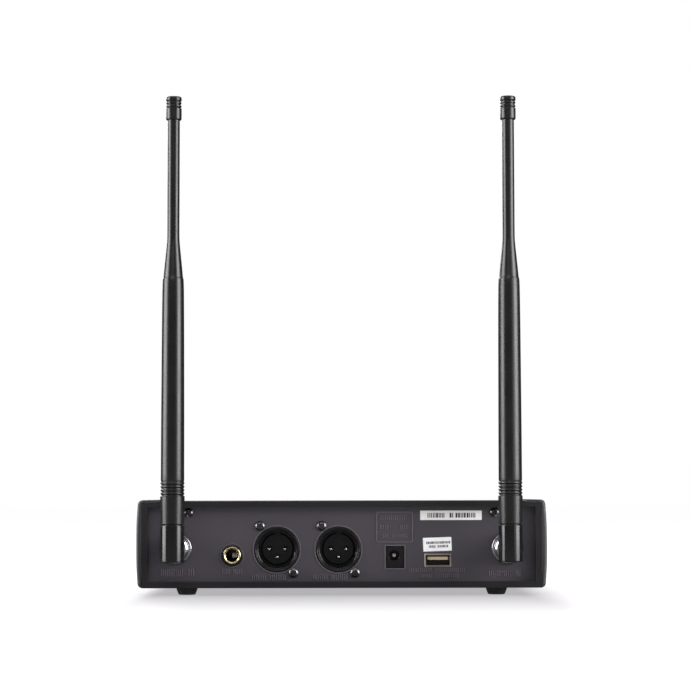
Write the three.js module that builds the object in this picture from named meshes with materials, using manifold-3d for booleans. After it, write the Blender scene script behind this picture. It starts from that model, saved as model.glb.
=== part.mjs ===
// Two-channel wireless receiver: a low moulded case on rubber feet, with a recessed socket panel
// behind and two rod aerials on bayonet sockets. Millimetres, +Z up, front towards -Y, sockets
// towards +Y. Inside the receiver group, y = 0 is the rear rim of the case and z = 0 the table.
import * as THREE from 'three';
import { mergeVertices } from 'three/addons/utils/BufferGeometryUtils.js';
import Module from 'manifold-3d';

const wasm = await Module();
wasm.setup();

// Case
const FOOT_HEIGHT = 4;
const CASE_TOP = 49.5;
const CASE_DEPTH = 145;
const SHELL_HALF_WIDTH = 105.1;
const SHELL_WALL = 2.2;
const PARTING_HEIGHT = 41.4;
const RIM_DEPTH = 4.9;
const RIM_FLOOR = 3.3;
const RIM_ROOF = 3;
const RIM_SIDE = 3.1;
const FIT = 0.1;

// End cheeks: they cover each side and lap over the ends of the lid.
const CHEEK_HALF_WIDTH = 107.4;
const CHEEK_BARREL = 0.7;
const CHEEK_BARREL_HEIGHT = 30;
const CHEEK_TOP = 50.2;
const CHEEK_CORNER = 2.5;
const LAP_START = 97;
const LAP_DEPTH = 1;

// Rear panel, in a groove behind the rim
const PANEL_FACE = -5;
const PANEL_THICK = 2;
const PANEL_HALF_WIDTH = 102.6;

// Front bezel
const BEZEL_DEPTH = 13;
const BEZEL_WALL = 2.5;
const BEZEL_FRONT = -CASE_DEPTH - FIT - BEZEL_DEPTH;
const WINDOW = { width: 116, bottom: 20, top: 42, lip: 1.5 };
const CONTROL_BOARD_FACE = -146.7;

// Rear sockets: x and z of each centre
const AERIAL_X = 87.5;
const AERIAL_Z = 24.6;
const PHONE_JACK = { x: 57.8, z: 21 };
const XLR_PLACES = [{ x: 34.2, z: 24.1 }, { x: 1.7, z: 24.1 }];
const XLR_SCREW = { x: 8.8, z: 12.3 };
const DC_SOCKET = { x: -28.2, z: 20, width: 9.5, height: 11.4, boreX: 0.5, boreZ: 0.9 };
const USB_SOCKET = { x: -50.8, z: 18.3, width: 13.9, height: 7 };
const CASE_SCREW = { x: 80.9, z: 43.5 };

// Aerial, measured up from its socket's axis
const AERIAL_BACK = 24;
const SLEEVE_RADIUS = 6.25;
const SLEEVE_BOTTOM = -6.3;
const SLEEVE_TOP = 12.4;
const COLLAR_TOP = 27.6;
const COLLAR_RADIUS = 6.35;
const GRIP_TOP = 34.4;
const TAPER_START = 133.3;
const TAPER_END = 161.8;
const ROD_RADIUS = 3.15;
const TIP_START = 224.1;
const TIP_RADIUS = 4.1;
const TIP_END = 236.4;

// Front controls
const KNOB = { x: 90, z: 27, radius: 8, reach: 12 };
const BUTTON = { x: 70, radius: 3.5, heights: [33.5, 20.5], proud: 0.9 };
const POWER = { z: 12.2, width: 16, height: 5, proud: 1 };
const BUTTON_END = -149.4;

// Inside
const BOARD = { width: 176, rear: -12, front: -132, bottom: 8.7, thick: 1.6 };
const BOARD_TOP = BOARD.bottom + BOARD.thick;
const TUNER = { x: 55, y: -62, width: 48, depth: 34, height: 9, wall: 0.8 };

const ROUND = 24;
const SMALL_ROUND = 16;
const AERIAL_ROUND = 20;

const finish = (color, roughness, metalness = 0) =>
  new THREE.MeshStandardMaterial({ color, roughness, metalness });
const shellPlastic = finish(0x28272a, 0.62);
const panelPlastic = finish(0x444145, 0.6);
const aerialPlastic = finish(0x201f21, 0.42);
const rubber = finish(0x1c1c1d, 0.85);
const chrome = finish(0xc9c9cc, 0.22, 1);
const brass = finish(0xc9a75a, 0.3, 1);
const blackPlastic = finish(0x101012, 0.4);
const usbPlastic = finish(0xb7a184, 0.5);
const glass = finish(0x0b0c10, 0.08);
const displayFace = finish(0x1d2b33, 0.3);
const boardGreen = finish(0x1f5136, 0.55);
const tinPlate = finish(0xb9babb, 0.35, 1);

// A closed geometry as a solid: shared vertices merged, empty triangles dropped, faces outwards.
function solid(geometry) {
  const bare = geometry.clone();
  bare.deleteAttribute('normal');
  bare.deleteAttribute('uv');
  const merged = mergeVertices(bare, 1e-4);
  const place = merged.attributes.position;
  const corners = [new THREE.Vector3(), new THREE.Vector3(), new THREE.Vector3()];
  const triangles = [];
  let volume = 0;
  for (let start = 0; start < merged.index.count; start += 3) {
    const index = [0, 1, 2].map((step) => merged.index.getX(start + step));
    if (new Set(index).size < 3) continue;
    triangles.push(...index);
    index.forEach((vertex, step) => corners[step].fromBufferAttribute(place, vertex));
    volume += corners[0].dot(corners[1].cross(corners[2]));
  }
  if (volume < 0) triangles.reverse();
  const vertProperties = Float32Array.from(place.array);
  const triVerts = Uint32Array.from(triangles);
  return new wasm.Manifold(new wasm.Mesh({ numProp: 3, vertProperties, triVerts }));
}

const joined = (solids) => solids.reduce((whole, next) => whole.add(next));
const cut = (body, tools) => tools.reduce((whole, tool) => whole.subtract(tool), body);

// Turned about the Y axis from [radius, y] points that start and end on the axis, or close.
function turned(profile, segments = ROUND) {
  const points = profile.map(([radius, y]) => new THREE.Vector2(radius, y));
  return solid(new THREE.LatheGeometry(points, segments));
}

// The same about a vertical axis, from [radius, z] points.
function turnedUpright(profile, segments = AERIAL_ROUND) {
  const points = profile.map(([radius, z]) => new THREE.Vector2(radius, z));
  return solid(new THREE.LatheGeometry(points, segments).rotateX(Math.PI / 2));
}

const rod = (radius, low, high, segments = ROUND) =>
  turned([[0, low], [radius, low], [radius, high], [0, high]], segments);

const sleeve = (outer, inner, low, high, segments = ROUND) =>
  turned([[inner, low], [outer, low], [outer, high], [inner, high], [inner, low]], segments);

function block([x0, x1], [y0, y1], [z0, z1]) {
  const box = new THREE.BoxGeometry(x1 - x0, y1 - y0, z1 - z0);
  return solid(box.translate((x0 + x1) / 2, (y0 + y1) / 2, (z0 + z1) / 2));
}

// An outline in x and z, run along Y from the plane rear back to rear - depth.
function runBack(shape, rear, depth, options = {}) {
  const form = { depth, bevelEnabled: false, curveSegments: 4, ...options };
  return solid(new THREE.ExtrudeGeometry(shape, form).rotateX(Math.PI / 2).translate(0, rear, 0));
}

function outline(points) {
  return new THREE.Shape(points.map(([x, z]) => new THREE.Vector2(x, z)));
}

function roundedRectangle(width, height, radius, centreZ) {
  const x = width / 2;
  const [low, high] = [centreZ - height / 2, centreZ + height / 2];
  const shape = new THREE.Shape();
  shape.moveTo(-x + radius, low);
  shape.absarc(x - radius, low + radius, radius, -Math.PI / 2, 0);
  shape.absarc(x - radius, high - radius, radius, 0, Math.PI / 2);
  shape.absarc(-x + radius, high - radius, radius, Math.PI / 2, Math.PI);
  shape.absarc(-x + radius, low + radius, radius, Math.PI, Math.PI * 1.5);
  return shape;
}

function piece(name, shape, material, place = [0, 0, 0], turn = [0, 0, 0]) {
  const { vertProperties, triVerts } = shape.getMesh();
  const geometry = new THREE.BufferGeometry();
  geometry.setAttribute('position', new THREE.BufferAttribute(vertProperties, 3));
  geometry.setIndex(new THREE.BufferAttribute(triVerts, 1));
  const facets = geometry.toNonIndexed();
  facets.computeVertexNormals();
  const mesh = new THREE.Mesh(facets, material);
  mesh.name = name;
  mesh.position.set(...place);
  mesh.rotation.set(...turn);
  return mesh;
}

function group(place, ...members) {
  const holder = new THREE.Group();
  holder.position.set(...place);
  holder.add(...members);
  return holder;
}

// A channel section standing on its floor, open upwards.
function channel(bottom, top, floor, wall) {
  const out = SHELL_HALF_WIDTH;
  const inner = out - wall;
  return outline([
    [-out, bottom], [out, bottom], [out, top], [inner, top],
    [inner, bottom + floor], [-inner, bottom + floor], [-inner, top], [-out, top],
  ]);
}

// The lid's section: an inverted channel, stepped down at both ends for the cheeks' laps.
function lidSection(roof, wall) {
  const out = SHELL_HALF_WIDTH;
  const inner = out - wall;
  const step = LAP_START - 3 * FIT;
  const low = PARTING_HEIGHT + FIT;
  return outline([
    [-out, low], [-inner, low], [-inner, CASE_TOP - roof], [inner, CASE_TOP - roof],
    [inner, low], [out, low], [out, CASE_TOP - LAP_DEPTH], [step, CASE_TOP - LAP_DEPTH],
    [step, CASE_TOP], [-step, CASE_TOP], [-step, CASE_TOP - LAP_DEPTH], [-out, CASE_TOP - LAP_DEPTH],
  ]);
}

const GROOVE_FRONT = PANEL_FACE - PANEL_THICK - FIT;
const INNER_RIB = 2;

function bottomCase() {
  const spans = [[0, CASE_DEPTH, SHELL_WALL, SHELL_WALL]];
  spans.push([0, RIM_DEPTH, RIM_FLOOR, RIM_SIDE], [GROOVE_FRONT, INNER_RIB, RIM_FLOOR, RIM_SIDE]);
  const shells = spans.map(([rear, depth, floor, wall]) =>
    runBack(channel(FOOT_HEIGHT, PARTING_HEIGHT, floor, wall), rear, depth));
  const standoffs = [-70, 70].flatMap((x) => [-34, -118].map((y) => {
    const foot = FOOT_HEIGHT + SHELL_WALL - 0.5;
    const post = [[0, foot], [3.5, foot], [3, BOARD.bottom - FIT], [0, BOARD.bottom - FIT]];
    return turnedUpright(post, SMALL_ROUND).translate([x, y, 0]);
  }));
  return joined([...shells, ...standoffs]);
}

function topCase() {
  const spans = [[0, CASE_DEPTH, SHELL_WALL, SHELL_WALL]];
  spans.push([0, RIM_DEPTH, RIM_ROOF, RIM_SIDE], [GROOVE_FRONT, INNER_RIB, RIM_ROOF, RIM_SIDE]);
  const shells = spans.map(([rear, depth, roof, wall]) => runBack(lidSection(roof, wall), rear, depth));
  const bosses = [-1, 1].map((side) => {
    const x = side * CASE_SCREW.x;
    const boss = block([x - 4, x + 4], [GROOVE_FRONT - 10, GROOVE_FRONT], [39.5, CASE_TOP - 1]);
    const hole = rod(1.6, GROOVE_FRONT - 8.5, GROOVE_FRONT + 1, SMALL_ROUND);
    return boss.subtract(hole.translate([x, 0, CASE_SCREW.z]));
  });
  return joined([...shells, ...bosses]);
}

// One cheek's section: barrelled side, rounded corners, and the lap over the lid.
function cheekSection() {
  const inner = SHELL_HALF_WIDTH + FIT;
  const [x, z0, z1, r] = [CHEEK_HALF_WIDTH, FOOT_HEIGHT, CHEEK_TOP, CHEEK_CORNER];
  const lapUnder = CASE_TOP - LAP_DEPTH + FIT;
  const shape = new THREE.Shape();
  shape.moveTo(inner, z0);
  shape.quadraticCurveTo(x, z0, x, z0 + r);
  shape.quadraticCurveTo(x + 2 * CHEEK_BARREL, CHEEK_BARREL_HEIGHT, x, z1 - r);
  shape.absarc(x - r, z1 - r, r, 0, Math.PI / 2);
  shape.lineTo(LAP_START + 1, z1);
  shape.lineTo(LAP_START, CASE_TOP + FIT);
  shape.lineTo(LAP_START, lapUnder);
  shape.lineTo(inner, lapUnder);
  return shape;
}

function endCheek(side) {
  const softEnds = { bevelEnabled: true, bevelThickness: 0.6, bevelSize: 0.5, bevelOffset: -0.5 };
  const run = { ...softEnds, bevelSegments: 1 };
  const cheek = runBack(cheekSection(), -0.6, CASE_DEPTH - 1.2, run);
  return side > 0 ? cheek : cheek.mirror([1, 0, 0]);
}

function circleAt(x, z, radius, segments = ROUND) {
  return rod(radius, -10, 10, segments).translate([x, PANEL_FACE, z]);
}

function rectangleAt(x, z, width, height) {
  return block([x - width / 2, x + width / 2], [PANEL_FACE - 10, PANEL_FACE + 10],
    [z - height / 2, z + height / 2]);
}

function rearPanel() {
  const low = FOOT_HEIGHT + SHELL_WALL + FIT;
  const high = CASE_TOP - SHELL_WALL - FIT;
  const plate = block([-PANEL_HALF_WIDTH, PANEL_HALF_WIDTH], [PANEL_FACE - PANEL_THICK, PANEL_FACE],
    [low, high]);
  const aerialHoles = [-1, 1].map((side) => circleAt(side * AERIAL_X, AERIAL_Z, 6.2));
  const screwHoles = [-1, 1].map((side) => circleAt(side * CASE_SCREW.x, CASE_SCREW.z, 1.7, SMALL_ROUND));
  const xlrHoles = XLR_PLACES.flatMap(({ x, z }) => [
    circleAt(x, z, 12.1),
    circleAt(x + XLR_SCREW.x, z + XLR_SCREW.z, 1.7, SMALL_ROUND),
    circleAt(x - XLR_SCREW.x, z - XLR_SCREW.z, 1.7, SMALL_ROUND),
  ]);
  return cut(plate, [
    ...aerialHoles, ...screwHoles, ...xlrHoles,
    circleAt(PHONE_JACK.x, PHONE_JACK.z, 5.2),
    rectangleAt(DC_SOCKET.x, DC_SOCKET.z, DC_SOCKET.width + 0.3, DC_SOCKET.height + 0.3),
    rectangleAt(USB_SOCKET.x, USB_SOCKET.z, USB_SOCKET.width + 0.3, USB_SOCKET.height + 0.3),
  ]);
}

function foot() {
  const high = FOOT_HEIGHT - FIT;
  return turnedUpright([[0, 0], [4.2, 0], [4.55, 0.4], [5.65, 3], [5.65, high], [0, high]], SMALL_ROUND);
}

// Pan-head screw: head seated on y = 0, shank towards -Y, a square recess in the head.
function screw(headRadius, headHeight, shankRadius, length) {
  const profile = [
    [0, -length], [shankRadius, -length], [shankRadius, FIT], [headRadius, FIT],
    [headRadius, headHeight * 0.6], [headRadius * 0.7, headHeight], [0, headHeight],
  ];
  const half = headRadius * 0.3;
  const recess = block([-half, half], [headHeight - 1, headHeight + 1], [-half, half]);
  return turned(profile, SMALL_ROUND).subtract(recess);
}

// Male XLR socket: y = 0 is the panel's face. The flange sits behind the panel.
const XLR_PINS = [[4.1, 0], [-4.1, 0], [0, -4.1]];
const XLR_CAVITY = 9.6;

function xlrShell() {
  const body = turned([
    [0, -21], [11.2, -21], [11.8, -20.4], [11.8, 0.3], [11.5, 0.5], [10.9, 0.5], [10.9, -0.4],
    [10.2, -0.4], [XLR_CAVITY, -1.2], [XLR_CAVITY, -13], [8.3, -13], [8.3, -12], [0, -12],
  ]);
  const back = -PANEL_THICK - FIT;
  const flange = cut(block([-13, 13], [back - 2.2, back], [-15.2, 15.2]), [rod(11, -10, 0)]);
  const screwHoles = [-1, 1].map((side) =>
    rod(1.7, -10, 0, SMALL_ROUND).translate([side * XLR_SCREW.x, 0, side * XLR_SCREW.z]));
  const pinHoles = XLR_PINS.map(([x, z]) => rod(1.35, -30, -5, 12).translate([x, 0, z]));
  return cut(body.add(flange), [...screwHoles, ...pinHoles]);
}

const xlrPin = () => turned([[0, -25], [1.2, -25], [1.2, -2.4], [0.7, -1.7], [0, -1.7]], 12);

function xlrSocket({ x, z }, number) {
  const pins = XLR_PINS.map(([pinX, pinZ], index) =>
    piece(`xlr_${number}_pin_${index + 1}`, xlrPin(), chrome, [pinX, 0, pinZ]));
  const screws = [1, -1].map((side, index) => {
    const place = [side * XLR_SCREW.x, 0, side * XLR_SCREW.z];
    return piece(`xlr_${number}_screw_${index + 1}`, screw(2.6, 1.5, 1.4, 8), chrome, place);
  });
  const shell = piece(`xlr_${number}_shell`, xlrShell(), blackPlastic);
  return group([x, PANEL_FACE, z], shell, ...pins, ...screws);
}

function phoneJack({ x, z }) {
  const bore = 3.25;
  const front = -PANEL_THICK - FIT;
  const depth = 29;
  const housing = block([-7.5, 7.5], [front - depth, front], [BOARD_TOP + FIT - z, 7.8]);
  const body = housing.subtract(rod(bore, front - depth + 3, 5));
  return group([x, PANEL_FACE, z],
    piece('phone_jack_body', body, blackPlastic),
    piece('phone_jack_bushing', turned([
      [bore, front + FIT], [5, front + FIT], [5, 1.2], [4.6, 1.6], [3.6, 1.6], [bore, 1.2],
      [bore, front + FIT],
    ]), brass),
    piece('phone_jack_ring', sleeve(5.7, 5.15, FIT, 0.9), blackPlastic));
}

function dcSocket({ x, z, width, height, boreX, boreZ }) {
  const bore = rod(2.7, -11, 1, SMALL_ROUND).translate([boreX, 0, boreZ]);
  const pinHole = rod(1.2, -20, 1, 12).translate([boreX, 0, boreZ]);
  const nose = block([-width / 2, width / 2], [-14, -0.3], [-height / 2, height / 2]);
  const base = block([-width / 2, width / 2], [-14, -PANEL_THICK - FIT], [BOARD_TOP + FIT - z, 0]);
  return group([x, PANEL_FACE, z],
    piece('dc_socket_body', cut(nose.add(base), [bore, pinHole]), blackPlastic),
    piece('dc_socket_pin', turned([[0, -13], [1.05, -13], [1.05, -2], [0.6, -1.5], [0, -1.5]], 12),
      chrome, [boreX, 0, boreZ]));
}

// USB-A socket: a folded metal shell with a flared mouth, and a plastic tongue in its upper half.
function usbSocket({ x, z, width, height }) {
  const wide = (half, low, high, lowZ, highZ) => block([-half, half], [low, high], [lowZ, highZ]);
  const flare = wide(width / 2, -0.6, 0.2, -height / 2, height / 2);
  const shell = flare.add(wide(6.55, -14, 0, -2.85, 2.85));
  const hollow = wide(6.25, -20, 5, -2.55, 2.55);
  const tongue = wide(5.5, -12, -1, 0.3, 2.2).add(wide(6.1, -13.9, -9.5, -2.4, 2.4));
  return group([x, PANEL_FACE, z],
    piece('usb_shell', shell.subtract(hollow), tinPlate),
    piece('usb_tongue', tongue, usbPlastic));
}

// Aerial socket, plug and coupling ring share one axis along Y; y = 0 is the panel's face.
const PLUG_START = 3.2;
const SOCKET_MOUTH = 11;
const RING_START = 2.3;
const RING_LIP = 12.6;
const RING_END = 15.5;

function aerialSocket() {
  const lugs = block([-5.4, 5.4], [6.6, 8.6], [-0.9, 0.9]);
  const body = turned([[0, -14], [6, -14], [6, 1.9], [4.8, 1.9], [4.8, SOCKET_MOUTH], [0, SOCKET_MOUTH]]);
  return body.add(lugs).subtract(rod(4.2, 2.6, SOCKET_MOUTH + 1));
}

const socketNut = () => turned([
  [6.2, FIT], [8.6, FIT], [8.6, 1.2], [8.1, 1.8], [6.2, 1.8], [6.2, FIT],
]);

const couplingRing = () => turned([
  [5.7, RING_START], [6.9, RING_START], [7.2, RING_START + 0.4], [7.2, RING_END - 0.8],
  [6.6, RING_END], [4.85, RING_END], [4.85, RING_LIP], [5.7, RING_LIP], [5.7, RING_START],
]);

// The elbow: an upright sleeve with the plug's barrel on the socket's axis.
function aerialElbow() {
  const chamfer = 0.3;
  const upright = turnedUpright([
    [0, SLEEVE_BOTTOM], [SLEEVE_RADIUS - chamfer, SLEEVE_BOTTOM],
    [SLEEVE_RADIUS, SLEEVE_BOTTOM + chamfer], [SLEEVE_RADIUS, SLEEVE_TOP], [0, SLEEVE_TOP],
  ]).translate([0, AERIAL_BACK, 0]);
  const barrel = rod(4.6, SOCKET_MOUTH + 0.6, AERIAL_BACK, AERIAL_ROUND);
  const plug = rod(4, PLUG_START, SOCKET_MOUTH + 1, AERIAL_ROUND);
  return joined([upright, barrel, plug]);
}

// The whip: collar, three grip rings, a long slightly tapered grip, and the thin rod above it.
function aerialWhip() {
  const rings = [0, 1, 2].flatMap((ring) => {
    const z = COLLAR_TOP + 0.5 + ring * 2.2;
    return [[5.95, z], [6.3, z + 0.5], [6.3, z + 1.1], [5.95, z + 1.6]];
  });
  return turnedUpright([
    [0, SLEEVE_TOP + FIT], [SLEEVE_RADIUS, SLEEVE_TOP + FIT], [COLLAR_RADIUS, COLLAR_TOP],
    ...rings, [6.05, GRIP_TOP + 0.4], [5.6, TAPER_START], [4.9, TAPER_START + 9],
    [3.5, TAPER_END - 6], [ROD_RADIUS, TAPER_END], [ROD_RADIUS, TIP_START - FIT],
    [0, TIP_START - FIT],
  ]);
}

// The tip cap, from below: a plain body, then two thin rings and the head, with grooves between.
function aerialTip() {
  const groove = TIP_RADIUS - 0.4;
  const rings = [6.3, 8.1].flatMap((rise) => {
    const z = TIP_START + rise;
    return [[groove, z], [TIP_RADIUS - 0.1, z + 0.2], [TIP_RADIUS - 0.1, z + 1.2], [groove, z + 1.4]];
  });
  return turnedUpright([
    [0, TIP_START], [TIP_RADIUS - 0.4, TIP_START], [TIP_RADIUS, TIP_START + 0.5],
    [TIP_RADIUS, TIP_START + 5.9], ...rings, [TIP_RADIUS, TIP_START + 10], [TIP_RADIUS, TIP_END - 0.8],
    [TIP_RADIUS - 0.7, TIP_END], [0, TIP_END],
  ], SMALL_ROUND);
}

function aerial(side, letter) {
  const upright = [0, AERIAL_BACK, 0];
  return group([side * AERIAL_X, PANEL_FACE, AERIAL_Z],
    piece(`aerial_socket_${letter}`, aerialSocket(), chrome),
    piece(`socket_nut_${letter}`, socketNut(), chrome),
    piece(`coupling_ring_${letter}`, couplingRing(), chrome),
    piece(`aerial_elbow_${letter}`, aerialElbow(), aerialPlastic),
    piece(`aerial_whip_${letter}`, aerialWhip(), aerialPlastic, upright),
    piece(`aerial_tip_${letter}`, aerialTip(), aerialPlastic, upright));
}

// The bezel carries on the outline of the cheeks and the lid, hollow behind, with its openings.
function bezelOutline() {
  const [x, z0, z1] = [CHEEK_HALF_WIDTH, FOOT_HEIGHT, CHEEK_TOP];
  const r = CHEEK_CORNER;
  const shape = new THREE.Shape();
  shape.moveTo(-x + r, z0);
  shape.absarc(x - r, z0 + r, r, -Math.PI / 2, 0);
  shape.quadraticCurveTo(x + 2 * CHEEK_BARREL, CHEEK_BARREL_HEIGHT, x, z1 - r);
  shape.absarc(x - r, z1 - r, r, 0, Math.PI / 2);
  shape.lineTo(LAP_START + 1, z1);
  shape.lineTo(LAP_START, CASE_TOP);
  shape.lineTo(-LAP_START, CASE_TOP);
  shape.lineTo(-LAP_START - 1, z1);
  shape.absarc(-x + r, z1 - r, r, Math.PI / 2, Math.PI);
  shape.quadraticCurveTo(-x - 2 * CHEEK_BARREL, CHEEK_BARREL_HEIGHT, -x, z0 + r);
  shape.absarc(-x + r, z0 + r, r, Math.PI, Math.PI * 1.5);
  return shape;
}

const bezelHollow = () =>
  roundedRectangle(2 * SHELL_HALF_WIDTH, CASE_TOP - FOOT_HEIGHT - 2 * SHELL_WALL, 1,
    (CASE_TOP + FOOT_HEIGHT) / 2);

const windowHeight = WINDOW.top - WINDOW.bottom;
const windowMiddle = (WINDOW.top + WINDOW.bottom) / 2;
const windowShape = (inset, radius) =>
  roundedRectangle(WINDOW.width - 2 * inset, windowHeight - 2 * inset, radius, windowMiddle);
const powerShape = (grow) =>
  roundedRectangle(POWER.width + 2 * grow, POWER.height + 2 * grow, POWER.height / 2 + grow - 0.01, POWER.z);

function frontBezel() {
  const rear = -CASE_DEPTH - FIT;
  const soft = { bevelEnabled: true, bevelThickness: 1.2, bevelSize: 1, bevelOffset: -1, bevelSegments: 1 };
  const body = runBack(bezelOutline(), rear - 1.2, BEZEL_DEPTH - 2.4, soft);
  const squareRear = runBack(bezelOutline(), rear, 3);
  const hollow = runBack(bezelHollow(), rear + 1, BEZEL_DEPTH - BEZEL_WALL + 1);
  const lensSeat = runBack(windowShape(-FIT, 2 + FIT), BEZEL_FRONT + 1.7, 5);
  const lightOpening = runBack(windowShape(WINDOW.lip, 1), rear, BEZEL_DEPTH + 5);
  const buttonHoles = [-1, 1].flatMap((side) => BUTTON.heights.map((z) =>
    rod(BUTTON.radius + 0.25, -BEZEL_DEPTH, BEZEL_DEPTH, SMALL_ROUND)
      .translate([side * BUTTON.x, BEZEL_FRONT, z])));
  const shaftHoles = [-1, 1].map((side) =>
    rod(4, -BEZEL_DEPTH, BEZEL_DEPTH, SMALL_ROUND).translate([side * KNOB.x, BEZEL_FRONT, KNOB.z]));
  const powerHole = runBack(powerShape(0.25), rear, BEZEL_DEPTH + 5);
  const openings = [hollow, lensSeat, lightOpening, ...buttonHoles, ...shaftHoles, powerHole];
  return cut(body.add(squareRear), openings);
}

const displayWindow = () => runBack(windowShape(0, 2), BEZEL_FRONT + 1.6, 1.5);

// Round button: its cap stands through the bezel, a flange behind the wall keeps it in.
function channelButton() {
  const inside = BEZEL_FRONT + BEZEL_WALL;
  return turned([
    [0, BEZEL_FRONT - BUTTON.proud], [BUTTON.radius - 0.4, BEZEL_FRONT - BUTTON.proud],
    [BUTTON.radius, BEZEL_FRONT - BUTTON.proud + 0.4], [BUTTON.radius, inside + 0.2],
    [BUTTON.radius + 0.9, inside + 0.2], [BUTTON.radius + 0.9, inside + 1.2], [1.6, inside + 1.2],
    [1.6, BUTTON_END], [0, BUTTON_END],
  ], SMALL_ROUND);
}

function powerButton() {
  const inside = BEZEL_FRONT + BEZEL_WALL;
  const cap = runBack(powerShape(0), inside + 1, BEZEL_WALL + 1 + POWER.proud);
  const flange = runBack(powerShape(0.9), inside + 1.2, 1);
  const plunger = block([-1.6, 1.6], [inside, BUTTON_END], [POWER.z - 1.6, POWER.z + 1.6]);
  return joined([cap, flange, plunger]);
}

// Knob: a fluted cap in front of the bezel, and its shaft into the potentiometer.
function levelKnob() {
  const front = BEZEL_FRONT - KNOB.reach;
  const body = turned([
    [0, front], [KNOB.radius - 1.4, front], [KNOB.radius - 0.6, front + 0.8],
    [KNOB.radius, BEZEL_FRONT - 0.6], [3, BEZEL_FRONT - 0.6], [3, CONTROL_BOARD_FACE - 1.2],
    [0, CONTROL_BOARD_FACE - 1.2],
  ]);
  const pointer = block([-0.5, 0.5], [front - 1, front + 0.6], [2.5, KNOB.radius + 1]);
  return body.subtract(pointer);
}

const levelPot = () => sleeve(6.5, 3.25, CONTROL_BOARD_FACE - 6, CONTROL_BOARD_FACE - FIT, SMALL_ROUND);

function controlBoard() {
  const plate = block([-98, 98], [CONTROL_BOARD_FACE, CONTROL_BOARD_FACE + BOARD.thick], [8, 46]);
  const switchAt = (x, z) => block([x - 2.5, x + 2.5],
    [CONTROL_BOARD_FACE - 1.5, CONTROL_BOARD_FACE + 0.5], [z - 2.5, z + 2.5]);
  const switches = [-1, 1].flatMap((side) => BUTTON.heights.map((z) => switchAt(side * BUTTON.x, z)));
  return joined([plate, ...switches, switchAt(0, POWER.z)]);
}

function displayModule() {
  const front = BEZEL_FRONT + BEZEL_WALL + 0.3;
  return block([-22, 22], [front, front + 5], [WINDOW.bottom + 1, WINDOW.top - 1]);
}

function tunerCan() {
  const { width, depth, height, wall } = TUNER;
  const can = block([-width / 2, width / 2], [-depth / 2, depth / 2], [0, height]);
  const inside = block([wall - width / 2, width / 2 - wall], [wall - depth / 2, depth / 2 - wall],
    [-1, height - wall]);
  return can.subtract(inside);
}

const mainBoard = () => block([-BOARD.width / 2, BOARD.width / 2], [BOARD.front, BOARD.rear],
  [BOARD.bottom, BOARD_TOP]);

const FOOT_X = 82.3;
const FOOT_REAR = -16;
const FOOT_FRONT = -134;

function feet() {
  const corners = [[1, FOOT_REAR], [-1, FOOT_REAR], [1, FOOT_FRONT], [-1, FOOT_FRONT]];
  return corners.map(([side, y], index) => piece(`foot_${index + 1}`, foot(), rubber, [side * FOOT_X, y, 0]));
}

function frontControls() {
  const channels = [[-1, 'a'], [1, 'b']];
  const buttons = channels.flatMap(([side, letter]) => BUTTON.heights.map((z, index) => {
    const name = `channel_button_${letter}_${['up', 'down'][index]}`;
    return piece(name, channelButton(), blackPlastic, [side * BUTTON.x, 0, z]);
  }));
  const knobs = channels.flatMap(([side, letter]) => [
    piece(`level_knob_${letter}`, levelKnob(), blackPlastic, [side * KNOB.x, 0, KNOB.z]),
    piece(`level_pot_${letter}`, levelPot(), tinPlate, [side * KNOB.x, 0, KNOB.z]),
    piece(`display_${letter}`, displayModule(), displayFace, [side * 29, 0, 0]),
  ]);
  return [...buttons, ...knobs, piece('power_button', powerButton(), blackPlastic)];
}

// The origin is under the middle of the whole object, between the knobs' faces and the aerials' backs.
const frontmost = BEZEL_FRONT - KNOB.reach;
const rearmost = PANEL_FACE + AERIAL_BACK + COLLAR_RADIUS;

const receiver = group([0, -(frontmost + rearmost) / 2, 0],
  piece('bottom_case', bottomCase(), shellPlastic),
  piece('top_case', topCase(), shellPlastic),
  piece('end_cheek_a', endCheek(-1), shellPlastic),
  piece('end_cheek_b', endCheek(1), shellPlastic),
  piece('rear_panel', rearPanel(), panelPlastic),
  piece('front_bezel', frontBezel(), shellPlastic),
  piece('display_window', displayWindow(), glass),
  piece('control_board', controlBoard(), boardGreen),
  piece('main_board', mainBoard(), boardGreen),
  piece('tuner_can_a', tunerCan(), tinPlate, [-TUNER.x, TUNER.y, BOARD_TOP + FIT]),
  piece('tuner_can_b', tunerCan(), tinPlate, [TUNER.x, TUNER.y, BOARD_TOP + FIT]),
  ...feet(),
  ...[-1, 1].map((side, index) => piece(`case_screw_${'ab'[index]}`, screw(2.5, 1.4, 1.3, 9), chrome,
    [side * CASE_SCREW.x, PANEL_FACE, CASE_SCREW.z])),
  ...XLR_PLACES.map((place, index) => xlrSocket(place, index + 1)),
  phoneJack(PHONE_JACK),
  dcSocket(DC_SOCKET),
  usbSocket(USB_SOCKET),
  aerial(-1, 'a'),
  aerial(1, 'b'),
  ...frontControls());

export default receiver;
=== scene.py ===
# The looks of a two-channel wireless receiver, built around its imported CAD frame. The sockets
# face +Y. Shapes are in millimetres, which make_mesh turns into metres; lights and camera are
# placed in metres.
import math
import random

import bmesh
import bpy
from mathutils import Matrix, Vector


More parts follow.
